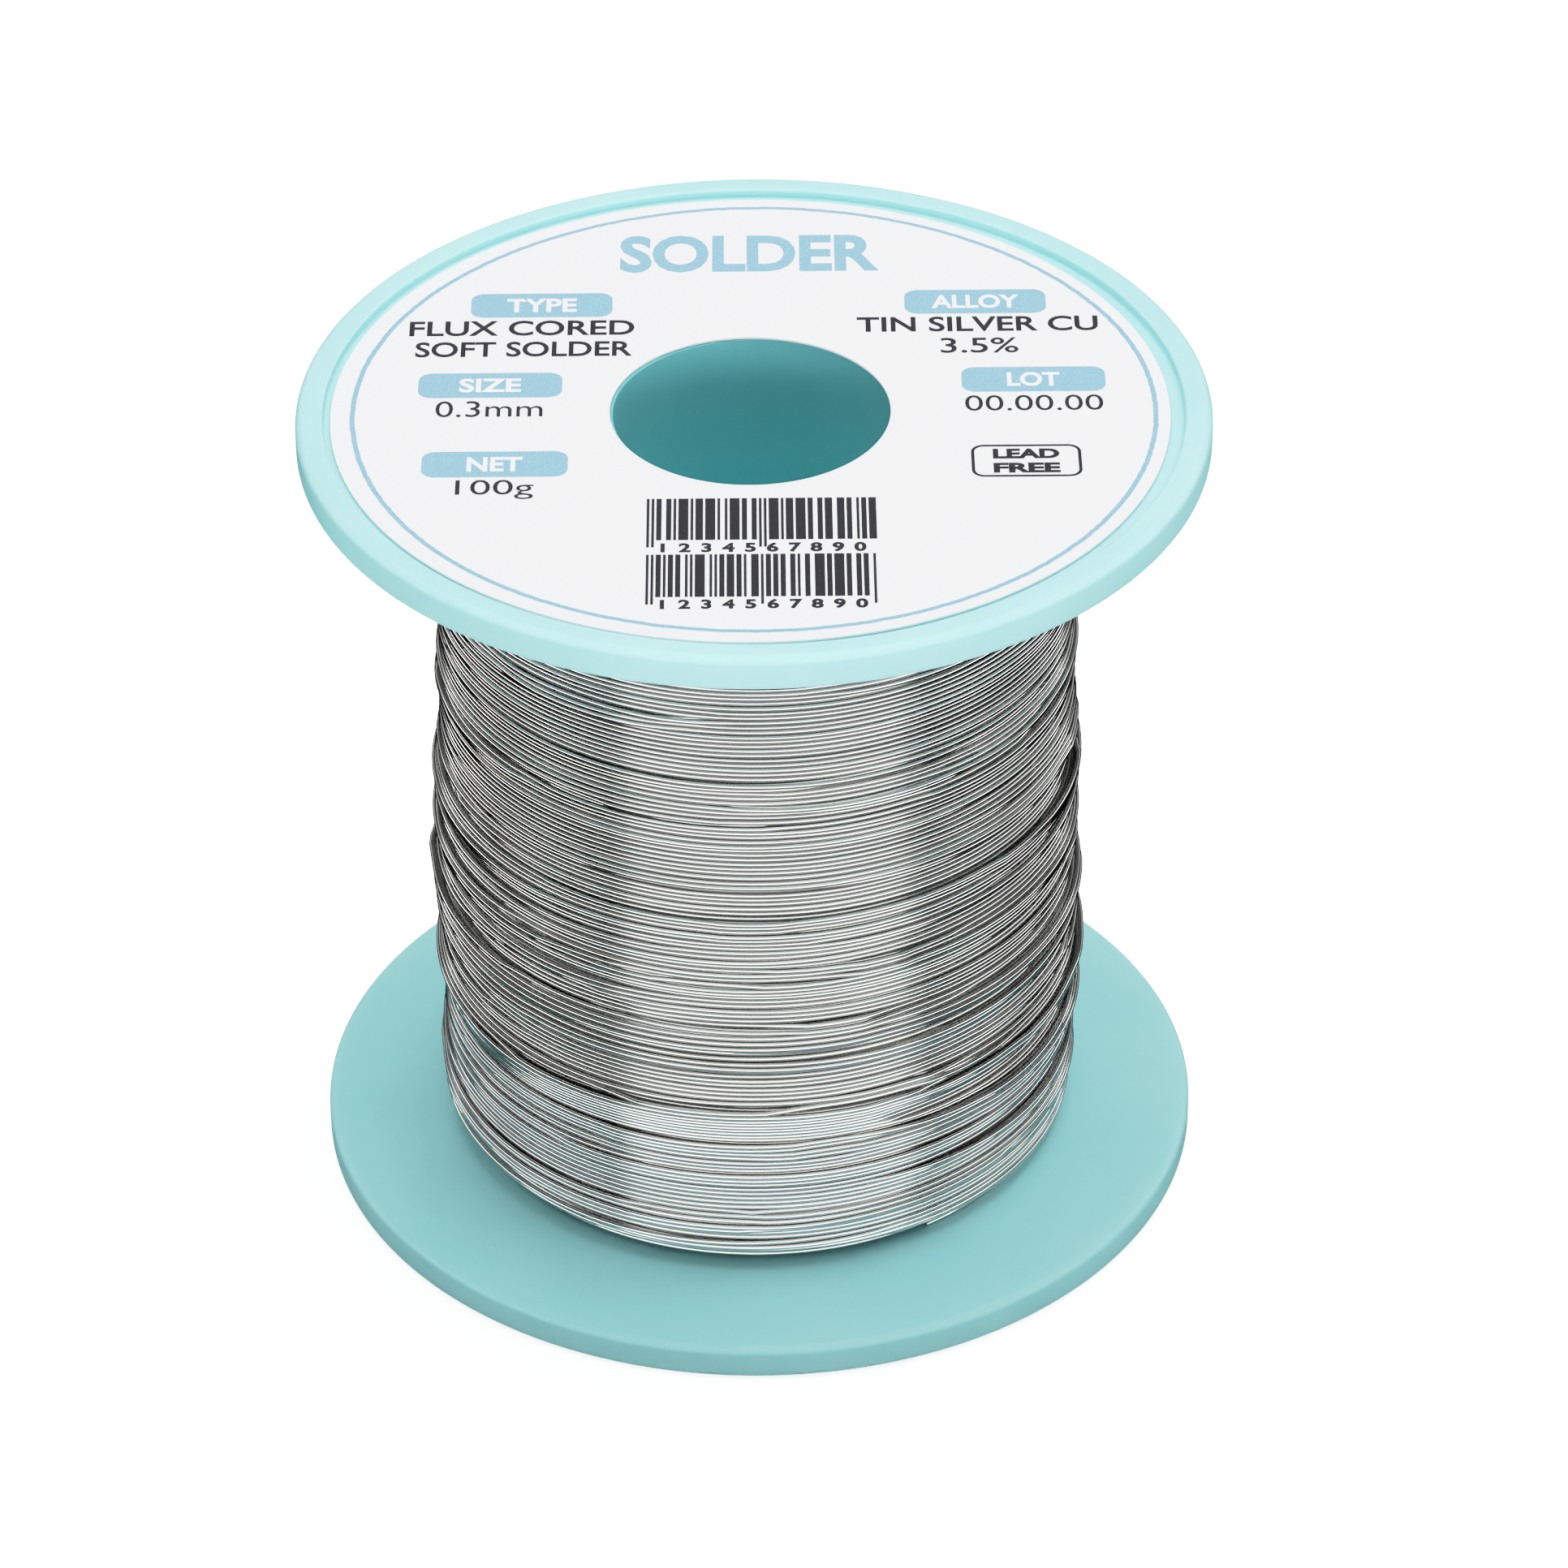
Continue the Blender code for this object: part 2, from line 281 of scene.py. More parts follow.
def solder_metal():
    """Bright drawn tin alloy: lengthwise die marks, faint oxide clouds and a slightly warm grey."""
    material = bpy.data.materials.new("solder")
    n = Nodes(material)
    streaks = n.noise(n.cylinder_position(3.0, 26000.0), 1.0, 3.0, 0.6)
    turns = n.noise(n.cylinder_position(1.2, 3400.0), 1.0, 1.0)
    cloud = n.noise(n.position(), 220.0, 3.0)
    tint = n.mix(n.step(turns, 0.3, 0.7), (0.50, 0.505, 0.495, 1), (0.61, 0.62, 0.605, 1))
    tint = n.mix(n.step(cloud, 0.55, 0.85, 0.0, 0.35), tint, (0.43, 0.41, 0.38, 1))
    rough = n.math("ADD", n.step(streaks, 0.25, 0.75, 0.09, 0.13), n.step(cloud, 0.5, 0.8, 0.0, 0.04))
    shader = n.add("ShaderNodeBsdfPrincipled", Metallic=1.0, Roughness=rough)
    n.put(shader, "Base Color", tint)
    n.put(shader, "Normal", n.bump(streaks, 0.015, 0.000003))
    n.surface(shader.outputs[0])
    return material


def flux_rosin():
    """Amber rosin, slightly cloudy."""
    material = bpy.data.materials.new("flux_rosin")
    n = Nodes(material)
    cloud = n.noise(n.position(), 9000.0, 2.0)
    tint = n.mix(cloud, (0.50, 0.24, 0.04, 1), (0.72, 0.42, 0.10, 1))
    shader = n.add("ShaderNodeBsdfPrincipled", IOR=1.53, Roughness=n.step(cloud, 0.3, 0.7, 0.15, 0.35))
    n.put(shader, "Base Color", tint)
    n.put(shader, "Subsurface Weight", 0.3)
    n.put(shader, "Subsurface Scale", 0.0002)
    n.surface(shader.outputs[0])
    return material


PLASTIC = mint_plastic("mint_plastic", (1.0, 1.0, 1.0, 1))
# Painted shade: the bore's tube is the same plastic, darkened overall and darker again near its top
BORE_PLASTIC_PAINTED_SHADE = mint_plastic("mint_plastic_tube_painted_shade", (0.61, 0.94, 0.95, 1), (0.72, 0.68, 0.70, 1))
PAPER = label_paper()
SOLDER = solder_metal()
ROSIN = flux_rosin()
BLUE_INK = ink("blue_ink", (0.205, 0.400, 0.590, 1), (0.38, 0.56, 0.72, 1), 0.9)
BLACK_INK = ink("black_ink", (0.012, 0.012, 0.016, 1), (0.035, 0.035, 0.04, 1), 1.0)
WHITE_INK = ink("white_ink", (0.86, 0.90, 0.93, 1), (0.92, 0.94, 0.96, 1), 1.0)


# ---------------------------------------------------------------- the reel

MOULD_SPLIT = math.radians(-63.5)
SPLIT_HALF_WIDTH = 0.06 * MM
SPLIT_HEIGHT = 0.018 * MM
CROWN_ROUND = 0.15 * MM
RIM_OUTER_ROUND = 0.45 * MM
RIM_INNER_ROUND = 0.5 * MM
RECESS_RADIUS = 23.5 * MM


def rim_angles():
    """Even steps round the rim, with fine ones across the two mould split lines."""
    angles = list(np.linspace(0.0, 2 * math.pi, 288, endpoint=False))
    for split in (MOULD_SPLIT, MOULD_SPLIT + math.pi):
        for offset in (-3, -2, -1.2, -0.6, 0.0, 0.6, 1.2, 2, 3):
            angles.append((split + offset * SPLIT_HALF_WIDTH / FLANGE_RADIUS) % (2 * math.pi))
    return sorted(set(angles))


def split_ridge(angle):
    """Height of the witness line that the mould's two halves leave, at each angle."""
    ridge = np.zeros_like(angle)
    for split in (MOULD_SPLIT, MOULD_SPLIT + math.pi):
        off = np.abs((angle - split + math.pi) % (2 * math.pi) - math.pi) * FLANGE_RADIUS
        ridge = np.maximum(ridge, np.clip(1.0 - off / SPLIT_HALF_WIDTH, 0.0, 1.0))
    return ridge * SPLIT_HEIGHT


def flange_section():
    """Half section with the outer face up at height 0, running clockwise."""
    hole = tube_high.x + 0.05 * MM
    crown_outer = FLANGE_RADIUS - RIM_OUTER_ROUND
    points = [(r, -RECESS) for r in np.linspace(hole, RECESS_RADIUS - 0.1 * MM, 14)]
    points += arc((RECESS_RADIUS - 0.1 * MM, 0.1 * MM - RECESS), 0.1 * MM, 270, 360, 4)
    points += arc((RECESS_RADIUS + CROWN_ROUND, -CROWN_ROUND), CROWN_ROUND, 180, 90, 6)
    points += arc((crown_outer, -RIM_OUTER_ROUND), RIM_OUTER_ROUND, 90, 0, 10)
    side = np.linspace(-RIM_OUTER_ROUND, RIM_INNER_ROUND - RIM, 4)[1:-1]
    points += [(FLANGE_RADIUS, z) for z in side]
    points += arc((FLANGE_RADIUS - RIM_INNER_ROUND, RIM_INNER_ROUND - RIM), RIM_INNER_ROUND, 0, -90, 10)
    inner_face = np.linspace(FLANGE_RADIUS - RIM_INNER_ROUND, BARREL - 0.5 * MM, 16)[1:]
    points += [(r, -RIM) for r in inner_face]
    points += [(BARREL - 0.5 * MM, -RIM + 0.3 * MM), (hole, -RIM + 0.3 * MM)]
    return points


def flange_shape(angle, radius, height):
    """Adds the mould split lines to the inner face and the rim's side."""
    ridge = split_ridge(angle)
    inner_face = (height < -RIM + 0.02 * MM) & (radius > BARREL)
    side = radius > FLANGE_RADIUS - 0.02 * MM
    return radius + np.where(side, ridge, 0.0), height - np.where(inner_face & ~side, ridge, 0.0)


def build_flange(name, node, turn_over):
    """One flange, lying on the reel's top, or turned over at its foot."""
    piece = turned(name, flange_section(), rim_angles(), PLASTIC, flange_shape)
    if turn_over:
        piece.data.transform(Matrix.Rotation(math.pi, 4, "X"))
    else:
        piece.data.transform(Matrix.Translation((0, 0, HEIGHT)))
    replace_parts(piece, node)
    return piece


def build_tube():
    """The spindle tube, with its entry edges broken and a fine step where its two cores met."""
    low, high = tube_low.z, tube_high.z
    outer = tube_high.x
    chamfer = 0.06 * MM
    step = 0.02 * MM
    middle = (low + high) / 2
    section = [(BORE + chamfer, high), (outer, high), (outer, low), (BORE + chamfer, low)]
    section += arc((BORE + chamfer, low + chamfer), chamfer, 270, 180, 4)[1:]
    section += [(BORE, z) for z in np.linspace(low + 4 * MM, middle - 0.01 * MM, 6)]
    section += [(BORE + step, z) for z in np.linspace(middle + 0.01 * MM, high - 4 * MM, 6)]
    section += arc((BORE + chamfer, high - chamfer), chamfer, 180, 90, 4)[:-1]
    angles = np.linspace(0.0, 2 * math.pi, 192, endpoint=False)
    # The tube's plastic carries painted shade in its colour
    piece = turned("spindle_tube_fine", section, angles, BORE_PLASTIC_PAINTED_SHADE)
    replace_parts(piece, "spindle_tube")


# ---------------------------------------------------------------- the wire

# How the wire is sampled and cut up: samples in a turn, sides round the wire
TURN = 144
SIDES = 8
SAMPLES_PER_PIECE = 12000

# The layers laid, from the turn's pitch to where each layer stops
LAYERS = 2
PITCH = 0.306 * MM
END_CLEARANCE = 0.02 * MM
LAYER_SHORTFALL = 0.40 * MM
BOTTOM_SHORTFALL = 0.90 * MM
LAST_TURN_HEIGHT = 26.2 * MM
LOWEST = lower_high.z + WIRE / 2 + END_CLEARANCE
HIGHEST = upper_low.z - WIRE / 2 - END_CLEARANCE

# The surface under the first layer, set so that the last layer ends at the pack's radius
LAYER_RISE = 0.37 * MM
CROSSINGS_RISE = 0.16 * MM
FIRST_CENTRE = PACK - WIRE / 2 - LAYERS * LAYER_RISE - CROSSINGS_RISE
BOTTOM_TAPER = 0.25 * MM
TAPER_HEIGHT = 2.0 * MM
RING_WAVE = 0.045
TILT_WAVE = 0.014

# How unevenly the guide feeds the wire
GUIDE_WAVE = 0.038 * MM
GUIDE_WANDER = 0.04 * MM
GUIDE_TREMOR = 0.014 * MM
SQUEEZE = 0.07
UNEVENNESS = 0.022 * MM

# How a turn settles: how far it looks, how strongly the guide holds it, how softly it chooses
SETTLE_REACH = 0.14
SETTLE_TRIALS = 9
GUIDE_HOLD = 6.0
CHOICE_SOFTNESS = 0.02

# Turns are laid in blocks, with a few samples to spare on either side
BLOCK = TURN // 2
HEIGHT_MARGIN = 12
RADIUS_MARGIN = 30
NEAR = 2.6 * MM
JUMP_FADE = 6.0

# The free end and the flux core in it
TIP_ANGLE = math.radians(56.0)
FREE_SAMPLES = 18
FREE_LIFT = 0.8 * MM
CORE_RADIUS = 0.055 * MM
CORE_DEPTH = 0.12 * MM


def smooth_noise(rng, count, spacing):
    """Smooth random values at unit steps, with knots every `spacing` samples and unit spread."""
    knots = rng.standard_normal(int(count / spacing) + 4)
    place = np.arange(count) / spacing
    index = place.astype(int)
    t = place - index
    p0, p1, p2, p3 = (knots[index + shift] for shift in range(4))
    return 0.5 * ((2 * p1) + (p2 - p0) * t + (2 * p0 - 5 * p1 + 4 * p2 - p3) * t ** 2
                  + (3 * p1 - p0 - 3 * p2 + p3) * t ** 3)


def bell(width):
    """A smoothing kernel, in samples."""
    reach = int(2.5 * width)
    kernel = np.exp(-0.5 * (np.arange(-reach, reach + 1) / width) ** 2)
    return kernel / kernel.sum()


def smoothed(values, kernel):
    """Values averaged with their neighbours, as many as before."""
    reach = len(kernel) // 2
    return np.convolve(np.pad(values, reach, mode="edge"), kernel, "valid")


class Winding:
    """One continuous wire laid to and fro between the flanges, turn by turn.

    The guide wanders a little. Each turn settles towards the hollows between the turns beneath, is
    pushed along by the turn beside it, and now and then strays back over it. Tension pulls the wire
    straight over the hollows under it.
    """

    def __init__(self, rng):
        self.rng = rng
        self.plan()
        count = len(self.guide)
        self.angle = TIP_ANGLE - 2 * np.pi * np.arange(count)[::-1] / TURN
        self.height = np.full(count, -1.0)
        self.front = np.zeros(count)
        self.radius = np.zeros(count)
        self.waves = self.plan_waves()
        self.stray = self.plan_strays(count)
        squeeze = smooth_noise(rng, count, 0.35 * TURN) + 0.6 * smooth_noise(rng, count, 3.0 * TURN)
        self.spacing = WIRE * (1.0 - SQUEEZE * np.clip(squeeze, 0, 1.5) / 1.5)

    def plan(self):
        """The guide's height over time, the layer number and the layer's direction."""
        rng = self.rng
        heights, numbers = [], []
        start = LOWEST
        for number in range(LAYERS + 1):
            up = number % 2 == 0
            short = rng.uniform(0, LAYER_SHORTFALL)
            stop = HIGHEST - short if up else LOWEST + BOTTOM_SHORTFALL - short
            stop = LAST_TURN_HEIGHT if number == LAYERS else stop
            samples = int(abs(stop - start) / PITCH * TURN)
            height = start + (stop - start) * np.arange(samples) / samples
            inside = np.clip(np.minimum(height - LOWEST, HIGHEST - height) / (3 * MM), 0, 1)
            heights.append(height + self.plan_drift(height) * inside)
            numbers.append(np.full(samples, number))
            start = stop
        self.guide = np.concatenate(heights)
        self.layer = np.concatenate(numbers)

    def plan_drift(self, height):
        """How far the guide is off its even travel: slow waves, a wander and a slight tremor."""
        rng = self.rng
        samples = len(height)
        drift = np.zeros(samples)
        for harmonic in range(1, 5):
            length = rng.uniform(7.0, 22.0) * MM * rng.choice((-1, 1))
            size = GUIDE_WAVE * rng.uniform(0.5, 1.3) / harmonic
            phase = harmonic * 2 * np.pi * np.arange(samples) / TURN + 2 * np.pi * height / length
            drift += size * np.cos(phase + rng.uniform(0, 2 * np.pi))
        drift += GUIDE_WANDER * smooth_noise(rng, samples, 2.3 * TURN)
        drift += GUIDE_TREMOR * smooth_noise(rng, samples, 0.25 * TURN)
        return drift

    def plan_waves(self):
        """Waves in the surface under the first layer: harmonic, length, phase and size of each."""
        rng = self.rng
        waves = []
        for harmonic in (0, 0, 0, 1, 1, 2, 3):
            length = rng.uniform(7, 24) * MM * rng.choice((-1, 1))
            phase = rng.uniform(0, 2 * np.pi)
            size = rng.uniform(0.5, 1.0) * (RING_WAVE if harmonic == 0 else TILT_WAVE) * MM
            waves.append((harmonic, length, phase, size))
        return waves

    def plan_strays(self, count):
        """Stretches where the wire runs back over one or two of its earlier turns."""
        stray = np.zeros(count)
        place = self.rng.integers(TURN, 4 * TURN)
        while place < count - 2 * TURN:
            length = int(self.rng.uniform(0.15, 0.5) * TURN)
            shape = np.sin(np.pi * np.arange(length) / length) ** 2
            stray[place:place + length] = shape * self.rng.uniform(0.10, 0.34) * MM
            place += int(self.rng.uniform(2.5, 14.0) * TURN)
        return stray

    def base(self, angle, height):
        """The surface of the buried layers, a little uneven."""
        near_bottom = np.clip(1.0 - (height - LOWEST) / TAPER_HEIGHT, 0.0, 1.0)
        total = FIRST_CENTRE - BOTTOM_TAPER * near_bottom ** 2
        for harmonic, length, phase, size in self.waves:
            total = total + size * np.cos(harmonic * angle + 2 * np.pi * height / length + phase)
        return total

    def earlier(self, window, start, below_layer=None):
        """Heights and radii of earlier turns at the window's angles, a row for each turn."""
        turns = np.arange(1, start // TURN + 1)
        turns = turns[np.abs(self.height[start - turns * TURN] - self.guide[start]) < NEAR]
        times = window[None, :] - turns[:, None] * TURN
        usable = times >= 0
        times = np.maximum(times, 0)
        if below_layer is not None:
            usable &= self.layer[times] < below_layer
        return np.where(usable, self.height[times], -1.0), self.radius[times]

    def support(self, window, height, below):
        """The radius at which a wire at each height touches the turns beneath it."""
        floor = self.base(self.angle[window], height)
        heights, radii = below
        if len(heights):
            gap = WIRE ** 2 - (heights - height) ** 2
            on_top = np.where(gap > 1e-12, radii + np.sqrt(np.maximum(gap, 0)), 0)
            floor = np.maximum(floor, on_top.max(0))
        return floor

    def settle(self, window, start):
        """Moves the guide's path towards the hollows of the layers beneath."""
        below = self.earlier(window, start, self.layer[start])
        shifts = np.linspace(-SETTLE_REACH, SETTLE_REACH, SETTLE_TRIALS)[:, None] * MM
        path = self.guide[window]
        cost = np.stack([self.support(window, path + shift, below) for shift in shifts[:, 0]]) / MM
        cost += GUIDE_HOLD * (shifts / MM) ** 2
        weight = np.exp(-(cost - cost.min(0)) / CHOICE_SOFTNESS)
        return path + smoothed((weight * shifts).sum(0) / weight.sum(0), bell(3.5))

    def side_contact(self, window):
        """How far the turns already laid in this layer reach, with their corners bridged."""
        before = window - TURN
        usable = (before >= 0) & (self.layer[np.maximum(before, 0)] == self.layer[window])
        up = self.layer[window] % 2 == 0
        last = self.height[np.maximum(before, 0)]
        front = self.front[np.maximum(before, 0)]
        edge = np.where(up, np.maximum(last, front), np.minimum(last, front))
        nothing = np.where(up, -1.0, 1.0)
        return np.where(usable, edge, nothing), usable, up

    def lay_heights(self):
        """Finds every turn's height, block by block, so that each joins the last without a jump."""
        count = len(self.guide)
        kernel = bell(4.0)
        for start in range(0, count, BLOCK):
            window = np.arange(max(0, start - HEIGHT_MARGIN), min(count, start + BLOCK + HEIGHT_MARGIN))
            path = self.settle(window, start)
            edge, usable, up = self.side_contact(window)
            whole = usable.all() and (up.all() or not up.any())
            bridge = smoothed(edge, kernel) if whole else edge
            spacing = self.spacing[window]
            limit = np.where(up, np.maximum(edge, bridge) + spacing, np.minimum(edge, bridge) - spacing)
            path = np.where(up, np.maximum(path, limit), np.minimum(path, limit))
            sense = np.where(up, 1.0, -1.0)
            path = np.clip(path - sense * self.stray[window], LOWEST, HIGHEST)
            skip = start - window[0]
            size = min(count, start + BLOCK) - start
            if start:
                jump = self.height[start - 1] - path[skip - 1]
                path[skip:] += jump * np.exp(-np.arange(len(path) - skip) / JUMP_FADE)
            self.height[start:start + size] = path[skip:skip + size]
            self.front[start:start + size] = edge[skip:skip + size]

    def lay_radii(self):
        """Finds how far out every turn lies on the turns beneath it."""
        count = len(self.guide)
        for start in range(0, count, BLOCK):
            window = np.arange(max(0, start - RADIUS_MARGIN), min(count, start + BLOCK + RADIUS_MARGIN))
            skip = start - window[0]
            radius = self.support(window, self.height[window], self.earlier(window, start))
            radius[:skip] = self.radius[window[:skip]]
            radius = self.pull_taut(radius, skip)
            size = min(count, start + BLOCK) - start
            self.radius[start:start + size] = radius[skip:skip + size]

    def pull_taut(self, radius, laid):
        """Raises each point to the chords between its neighbours: a taut wire bridges hollows."""
        for reach in (1, 2, 4, 8, 12, 8, 4, 2, 1):
            before, after = radius[:-2 * reach], radius[2 * reach:]
            chord = 2 * before * after * math.cos(reach * 2 * math.pi / TURN) / (before + after)
            middle = radius[reach:-reach]
            free = np.arange(reach, len(radius) - reach) >= laid
            middle[free] = np.maximum(middle[free], chord[free])
        return radius

    def lay(self):
        """Angle, radius and height of the whole strand, with its free end lifted a little."""
        self.lay_heights()
        self.lay_radii()
        uneven = smooth_noise(self.rng, len(self.radius), 0.7 * TURN)
        self.radius += UNEVENNESS * np.clip(uneven, -1.5, 1.5)
        rise = np.clip((np.arange(-FREE_SAMPLES, 0) + 1) / FREE_SAMPLES + 1, 0, 1)
        self.radius[-FREE_SAMPLES:] += FREE_LIFT * rise ** 2
        return self.angle, self.radius, self.height


def tube(name, points, thick, outward, upward, material):
    """A closed tube round a row of points, with a radius and two crosswise directions at each."""
    turn = 2 * np.pi * (np.arange(SIDES) + 0.5) / SIDES
    ring = np.cos(turn)[None, :, None] * outward[:, None] + np.sin(turn)[None, :, None] * upward[:, None]
    verts = (points[:, None] + ring * thick[:, None, None]).reshape(-1, 3)
    i = np.arange(len(points) - 1)[:, None]
    j = np.arange(SIDES)[None, :]
    j2 = (j + 1) % SIDES
    quads = np.stack([i * SIDES + j, i * SIDES + j2, (i + 1) * SIDES + j2, (i + 1) * SIDES + j], -1)
    quad_count = len(points) * SIDES - SIDES
    start_cap = np.arange(SIDES)[::-1]
    end_cap = (len(points) - 1) * SIDES + np.arange(SIDES)
    corners = np.concatenate([quads.reshape(-1), start_cap, end_cap])
    starts = np.concatenate([np.arange(quad_count) * 4, [quad_count * 4, quad_count * 4 + SIDES]])
    mesh = bpy.data.meshes.new(name)
    mesh.vertices.add(len(verts))
    mesh.vertices.foreach_set("co", verts.astype(np.float32).ravel())
    mesh.loops.add(len(corners))
    mesh.loops.foreach_set("vertex_index", corners.astype(np.int32))
    mesh.polygons.add(quad_count + 2)
    mesh.polygons.foreach_set("loop_start", starts.astype(np.int32))
    mesh.update(calc_edges=True)
    mesh.validate()
    return finish_piece(name, mesh, material, 60)


class Strand:
    """The wire's centre line in space, with its direction and two crosswise directions."""

    def __init__(self, angle, radius, height):
        self.points = np.stack([radius * np.cos(angle), radius * np.sin(angle), height], 1)
        self.along = np.gradient(self.points, axis=0)
        self.along /= np.linalg.norm(self.along, axis=1)[:, None]
        self.outward = np.stack([np.cos(angle), np.sin(angle), np.zeros_like(angle)], 1)
        self.outward -= (self.outward * self.along).sum(1)[:, None] * self.along
        self.outward /= np.linalg.norm(self.outward, axis=1)[:, None]
        self.upward = np.cross(self.along, self.outward)

    def build(self, name, first, last):
        """The wire between two samples. At its very end the hole of the flux core shows."""
        points = self.points[first:last]
        thick = np.full(len(points), WIRE / 2)
        outward, upward = self.outward[first:last], self.upward[first:last]
        if last == len(self.points):
            tip = self.points[-1]
            points = np.concatenate([points, [tip, tip - CORE_DEPTH * self.along[-1]]])
            thick = np.append(thick, (CORE_RADIUS, CORE_RADIUS))
            outward = np.concatenate([outward, outward[[-1, -1]]])
            upward = np.concatenate([upward, upward[[-1, -1]]])
        return tube(name, points, thick, outward, upward, SOLDER)

    def build_core(self):
        """The flux in the hole at the wire's end, a little sunk and slightly domed."""
        depth = np.array((0.95, 0.35, 0.22, 0.16, 0.14)) * CORE_DEPTH
        thick = np.array((0.96, 0.96, 0.85, 0.5, 0.15)) * CORE_RADIUS
        points = self.points[-1] - depth[:, None] * self.along[-1]
        outward = np.repeat(self.outward[-1:], len(depth), 0)
        upward = np.repeat(self.upward[-1:], len(depth), 0)
        return tube("flux_core_fine", points, thick, outward, upward, ROSIN)


def build_wire():
    """The visible layers as one strand, cut into a few long pieces, and the flux at its end."""
    strand = Strand(*Winding(np.random.default_rng(SEED)).lay())
    pieces = []
    final = len(strand.points)
    for number, first in enumerate(range(0, final - 1, SAMPLES_PER_PIECE)):
        last = min(first + SAMPLES_PER_PIECE + 1, final)
        pieces.append(strand.build(f"wire_run_{number}", first, last))
    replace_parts(pieces[0], "wire_outer_layers", "wire_last_turn")
    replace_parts(strand.build_core(), "flux_core")


# ---------------------------------------------------------------- the labels

PRINT_LIFT = 0.003 * MM
PRINT_THICKNESS = 0.005 * MM


def build_label_disc(name, node, low, high, up):
    """A die-cut paper disc with slightly soft edges, seated where its CAD disc is."""
    centre_x = (low.x + high.x) / 2
    radius = (high.x - low.x) / 2
    thickness = high.z - low.z
    hole = BORE - 0.04 * MM
    soft = 0.03 * MM
    top = thickness
    across = np.linspace(hole + 0.5 * MM, radius - 0.5 * MM, 24)
    section = [(hole + soft, top)] + [(r, top) for r in across]
    section += arc((radius - soft, top - soft), soft, 90, 0, 3) + [(radius, 0.0), (hole, 0.0)]
    section += arc((hole + soft, top - soft), soft, 180, 90, 3)[:-1]
    piece = turned(name, section, np.linspace(0, 2 * math.pi, 256, endpoint=False), PAPER)
    if up:
        piece.data.transform(Matrix.Translation((centre_x, 0, low.z)))
    else:
        over = Matrix.Rotation(math.pi, 4, "X")
        piece.data.transform(Matrix.Translation((centre_x, 0, high.z)) @ over)
    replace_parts(piece, node)


class Print:
    """Collects one ink's flat shapes, in millimetres on the label, into one thin mesh."""

    def __init__(self, level):
        self.mesh = bmesh.new()
        self.base = label_high.z + PRINT_LIFT + level * PRINT_THICKNESS

    def outline(self, points):
        """A solid from an outline of (x, y) points, running counter-clockwise."""
        ring = [self.mesh.verts.new((x * MM, y * MM, self.base)) for x, y in points]
        self.raise_face(self.mesh.faces.new(ring))

    def raise_face(self, face):
        """Turns a flat face into a thin solid."""
        face.normal_flip()
        made = bmesh.ops.extrude_face_region(self.mesh, geom=[face], use_keep_orig=True)
        lifted = [item for item in made["geom"] if isinstance(item, bmesh.types.BMVert)]
        bmesh.ops.translate(self.mesh, verts=lifted, vec=(0, 0, PRINT_THICKNESS))

    def rectangle(self, x, y, width, height):
        w, h = width / 2, height / 2
        self.outline([(x - w, y - h), (x + w, y - h), (x + w, y + h), (x - w, y + h)])

    def pill(self, x, y, width, height, corner):
        self.outline(rounded(x, y, width, height, corner))

    def frame(self, x, y, width, height, corner, line):
        """A rounded outline of a given line width."""
        outer = rounded(x, y, width, height, corner)
        inner = rounded(x, y, width - 2 * line, height - 2 * line, corner - line)
        self.band(outer, inner)

    def band(self, outer, inner):
        """A solid band between two outlines with as many points each."""
        count = len(outer)
        rings = []
        for level in (0.0, PRINT_THICKNESS):
            z = self.base + level
            for points in (outer, inner):
                rings.append([self.mesh.verts.new((x * MM, y * MM, z)) for x, y in points])
        low_out, low_in, high_out, high_in = rings
        for i in range(count):
            j = (i + 1) % count
            self.mesh.faces.new((high_out[i], high_out[j], high_in[j], high_in[i]))
            self.mesh.faces.new((low_out[j], low_out[i], low_in[i], low_in[j]))
            self.mesh.faces.new((low_out[i], low_out[j], high_out[j], high_out[i]))
            self.mesh.faces.new((low_in[j], low_in[i], high_in[i], high_in[j]))

    def text(self, words, x, y, width, height, bold=0.02, spacing=1.0):
        """A line of plain text, centred at x, y and fitted to a width and a capital height."""
        curve = bpy.data.curves.new("words", "FONT")
        curve.body = words
        curve.offset = bold
        curve.space_character = spacing
        curve.extrude = 0.5
        curve.resolution_u = 4
        obj = bpy.data.objects.new("words", curve)
        bpy.context.scene.collection.objects.link(obj)
        bpy.context.view_layer.update()
        mesh = bpy.data.meshes.new_from_object(obj.evaluated_get(bpy.context.evaluated_depsgraph_get()))
        places = np.array([v.co for v in mesh.vertices])
        low, high = places.min(0), places.max(0)
        scale_x = width * MM / (high[0] - low[0])
        scale_y = height * MM / (high[1] - low[1])
        move = Matrix.Translation((x * MM, y * MM, self.base + PRINT_THICKNESS / 2))
        size = Matrix.Diagonal((scale_x, scale_y, PRINT_THICKNESS, 1.0))
        centre = Matrix.Translation((-(low[0] + high[0]) / 2, -(low[1] + high[1]) / 2, 0))
        mesh.transform(move @ size @ centre)
        self.mesh.from_mesh(mesh)
        bpy.data.objects.remove(obj, do_unlink=True)

    def build(self, name, material):
        """The collected shapes as one piece in this ink."""
        bmesh.ops.remove_doubles(self.mesh, verts=self.mesh.verts, dist=1e-7)
        bmesh.ops.recalc_face_normals(self.mesh, faces=self.mesh.faces)
        mesh = bpy.data.meshes.new(name)
        self.mesh.to_mesh(mesh)
        self.mesh.free()
        return finish_piece(name, mesh, material)


def rounded(x, y, width, height, corner, steps=8):
    """Outline of a rectangle with round corners, counter-clockwise."""
    points = []
    for side_x, side_y, start in ((1, 1, 0), (-1, 1, 90), (-1, -1, 180), (1, -1, 270)):
        centre = (x + side_x * (width / 2 - corner), y + side_y * (height / 2 - corner))
        points += arc(centre, corner, start, start + 90, steps)
    return points


